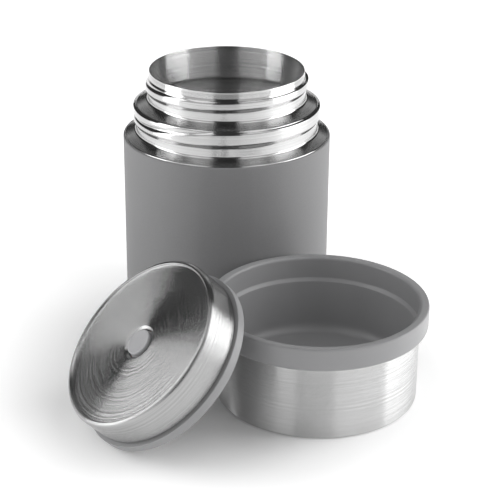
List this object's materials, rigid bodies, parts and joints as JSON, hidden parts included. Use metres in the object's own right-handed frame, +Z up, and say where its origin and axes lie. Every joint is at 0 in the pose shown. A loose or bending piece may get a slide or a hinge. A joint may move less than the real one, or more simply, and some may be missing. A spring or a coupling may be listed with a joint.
{
  "type": "insulated food jar",
  "caption": "Vacuum-insulated steel food jar, shown open: stepped threaded neck, vented insulated screw lid leaning on its plastic-lined screw cup.",
  "frame": {"origin": "centre of the jar's base, on the surface it stands on", "axes": "+Z up along the jar's axis, +X to the right and +Y away from the viewer, with the cup and the lid in front of the jar"},
  "size_m": [0.158, 0.217, 0.123],
  "materials": {
    "body_coat": "matt dark grey powder coat on stainless steel",
    "polished_steel": "bare stainless steel, polished, with fine turned lines",
    "vessel_steel": "brushed stainless steel",
    "copper_foil": "bright copper foil",
    "solder": "dull solder bead",
    "getter_metal": "sintered metal pellet",
    "grey_plastic": "moulded grey polypropylene, satin",
    "button_plastic": "silver-grey moulded plastic",
    "foam": "rigid polyurethane foam",
    "silicone": "translucent white silicone rubber",
    "spring_steel": "drawn stainless steel"
  },
  "bodies": {
    "jar": {"outer_shell": "body_coat", "neck_collar": "polished_steel", "inner_vessel": "vessel_steel", "heat_shield": "copper_foil", "vacuum_bottom": "vessel_steel", "vacuum_seal": "solder", "getter": "getter_metal", "getter_strap": "vessel_steel", "base_cover": "body_coat"},
    "lid": {"lid_shell": "polished_steel", "lid_body": "grey_plastic", "lid_plug": "grey_plastic", "lid_foam": "foam", "lid_gasket": "silicone", "vent_spring": "spring_steel"},
    "button": {"vent_button": "button_plastic", "vent_stem": "spring_steel", "vent_seal": "silicone", "stem_clip": "spring_steel", "button_seal": "silicone"},
    "cup": {"cup_shell": "polished_steel", "cup_liner": "grey_plastic", "cup_foam": "foam"}
  },
  "joints": [
    {"name": "lid_lift", "type": "slide", "parent": "jar", "child": "lid", "axis": [-0.6189, -0.3291, 0.7133], "range_m": [0, 0.12]},
    {"name": "cup_lift", "type": "slide", "parent": "jar", "child": "cup", "axis": [0.8, 0.2, 0.5657], "range_m": [0, 0.12]},
    {"name": "button_press", "type": "slide", "parent": "lid", "child": "button", "axis": [0.6189, 0.3291, -0.7133], "range_m": [0, 0.0016], "stiffness_N_per_m": 600, "springref_m": -0.002, "deforming": ["vent_spring"]}
  ]
}
